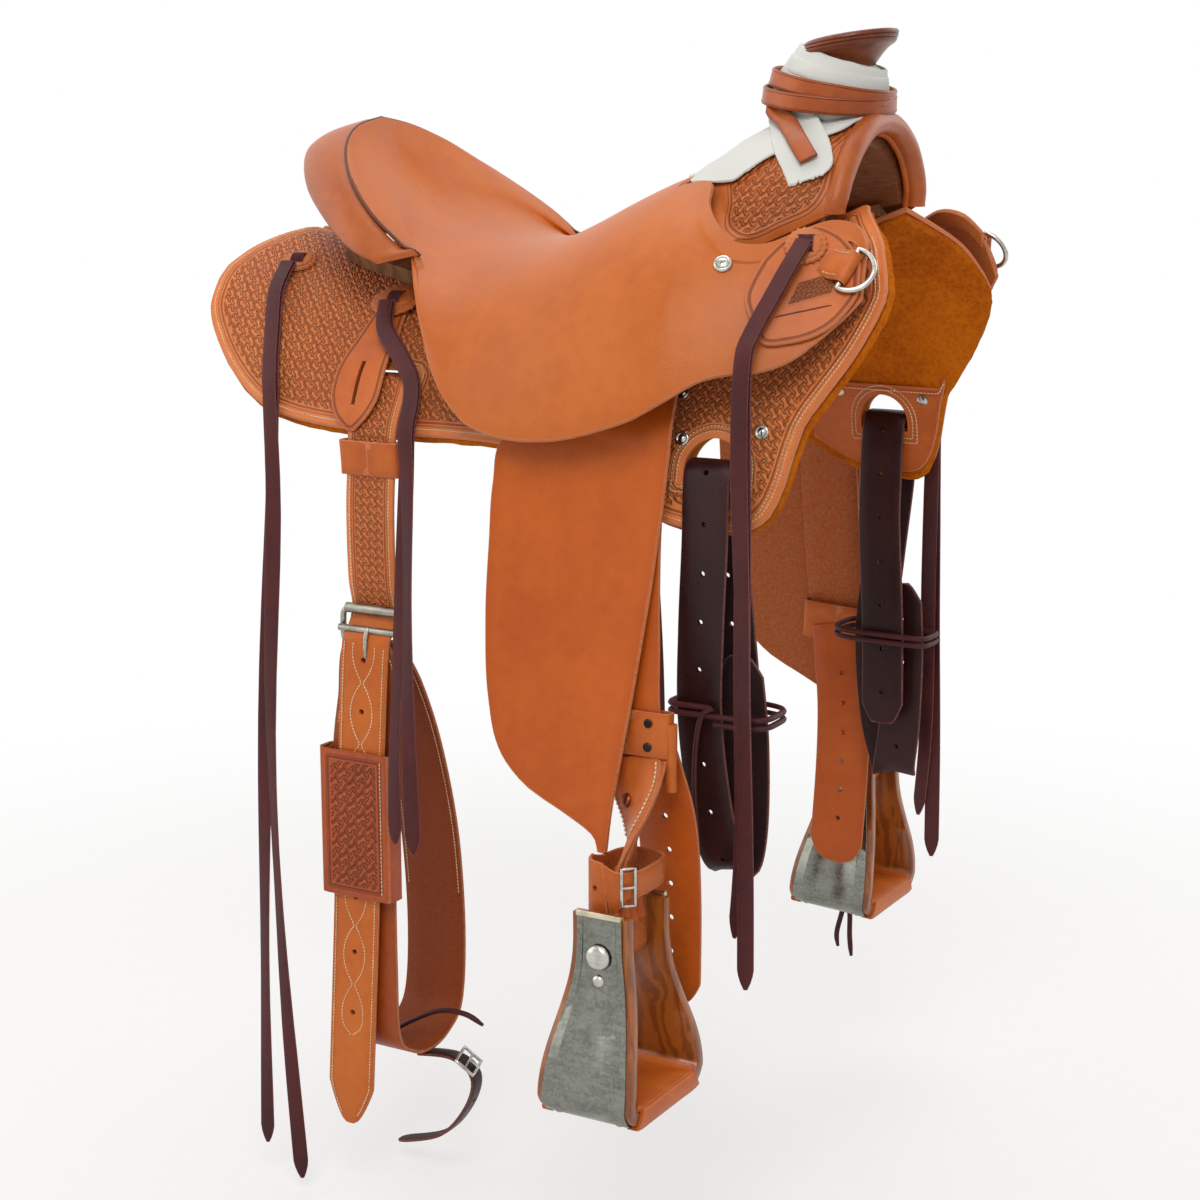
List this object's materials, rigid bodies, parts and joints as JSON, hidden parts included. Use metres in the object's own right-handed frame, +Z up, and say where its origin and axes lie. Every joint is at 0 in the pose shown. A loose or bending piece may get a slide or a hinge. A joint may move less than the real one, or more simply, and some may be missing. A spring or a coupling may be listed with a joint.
{
  "type": "western saddle",
  "caption": "Slick-fork stock saddle with wrapped horn, low roll on the cantle, stamped skirts, rear cinch strap and hanging stirrups.",
  "frame": {"origin": "top of the horse's back, on the saddle's middle plane, below the low point of the seat", "axes": "+X towards the horn, +Y towards the horse's left, which is the far side in the picture, +Z up"},
  "size_m": [0.716, 0.7264, 1.1153],
  "materials": {
    "saddle_leather": "satin",
    "tooled_leather": "satin, stamped",
    "dark_leather": "oiled",
    "white_hide": "matte",
    "wool": "long pile",
    "wood": "varnished",
    "metal": "worn galvanised"
  },
  "bodies": {
    "saddle": {"fork_cover": "saddle_leather", "seat_leather": "saddle_leather", "cheyenne_roll": "saddle_leather", "cantle": "saddle_leather", "dee_flap_right": "saddle_leather", "dee_flap_left": "saddle_leather", "leaf_right": "saddle_leather", "leaf_left": "saddle_leather", "rosette_front_right": "saddle_leather", "rosette_front_left": "saddle_leather", "rosette_inner_right": "saddle_leather", "rosette_inner_left": "saddle_leather", "rosette_outer_right": "saddle_leather", "rosette_outer_left": "saddle_leather", "skirt_right": "tooled_leather", "skirt_left": "tooled_leather", "horn": "dark_leather", "string_front_right": "dark_leather", "string_front_left": "dark_leather", "string_inner_right": "dark_leather", "string_inner_left": "dark_leather", "string_outer_right": "dark_leather", "string_outer_left": "dark_leather", "horn_wrap": "white_hide", "horn_strap": "white_hide", "horn_apron": "white_hide", "fleece_right": "wool", "fleece_left": "wool", "fork": "wood", "tree_bar_right": "wood", "tree_bar_left": "wood"},
    "leg_right": {"fender_right": "saddle_leather", "stirrup_leather_right": "saddle_leather", "leather_sleeve_right": "saddle_leather", "hobble_right": "saddle_leather"},
    "stirrup_right": {"stirrup_frame_right": "wood", "stirrup_binding_right": "metal", "stirrup_tread_right": "saddle_leather", "stirrup_bolt_right": "metal"},
    "dee_right": {"dee_right": "metal"},
    "latigo_right": {"latigo_right": "saddle_leather", "latigo_tie_right": "dark_leather"},
    "leg_left": {"fender_left": "saddle_leather", "stirrup_leather_left": "saddle_leather", "leather_sleeve_left": "saddle_leather", "hobble_left": "saddle_leather"},
    "stirrup_left": {"stirrup_frame_left": "wood", "stirrup_binding_left": "metal", "stirrup_tread_left": "saddle_leather", "stirrup_bolt_left": "metal"},
    "dee_left": {"dee_left": "metal"},
    "latigo_left": {"latigo_left": "saddle_leather", "latigo_tie_left": "dark_leather"},
    "flank_right": {"flank_billet_right": "tooled_leather", "flank_buckle": "metal", "flank_cinch": "tooled_leather", "cinch_keeper": "tooled_leather", "connector_strap": "dark_leather"},
    "flank_left": {"flank_billet_left": "tooled_leather"}
  },
  "joints": [
    {"name": "leg_swing_right", "type": "hinge", "parent": "saddle", "child": "leg_right", "pos_m": [0.165, -0.158, 0.02], "axis": [0, 1, 0], "range_deg": [-16, 15]},
    {"name": "leg_swing_left", "type": "hinge", "parent": "saddle", "child": "leg_left", "pos_m": [0.165, 0.158, 0.02], "axis": [0, 1, 0], "range_deg": [-16, 15]},
    {"name": "stirrup_swing_right", "type": "hinge", "parent": "leg_right", "child": "stirrup_right", "pos_m": [0.192, -0.295, -0.538], "axis": [0, 1, 0], "range_deg": [-15, 15]},
    {"name": "stirrup_swing_left", "type": "hinge", "parent": "leg_left", "child": "stirrup_left", "pos_m": [0.15794, 0.295, -0.53859], "axis": [0, 1, 0], "range_deg": [-15, 15]},
    {"name": "dee_lift_right", "type": "hinge", "parent": "saddle", "child": "dee_right", "pos_m": [0.3295, -0.15868, 0.03646], "axis": [0.2478, 0.5686, 0.7844], "range_deg": [-70, 0]},
    {"name": "dee_lift_left", "type": "hinge", "parent": "saddle", "child": "dee_left", "pos_m": [0.3295, 0.15868, 0.03646], "axis": [0.2478, -0.5686, 0.7844], "range_deg": [0, 70]},
    {"name": "flank_swing_right", "type": "hinge", "parent": "saddle", "child": "flank_right", "pos_m": [-0.122, -0.17345, -0.078], "axis": [0, 1, 0], "range_deg": [-2, 2]},
    {"name": "flank_swing_left", "type": "hinge", "parent": "saddle", "child": "flank_left", "pos_m": [-0.122, 0.17345, -0.078], "axis": [0, 1, 0], "range_deg": [-2, 2]},
    {"name": "latigo_swing_right", "type": "hinge", "parent": "saddle", "child": "latigo_right", "pos_m": [0.224, -0.193, -0.15], "axis": [0, 1, 0], "range_deg": [-5, 5]},
    {"name": "latigo_swing_left", "type": "hinge", "parent": "saddle", "child": "latigo_left", "pos_m": [0.224, 0.193, -0.15], "axis": [0, 1, 0], "range_deg": [-5, 5]}
  ]
}
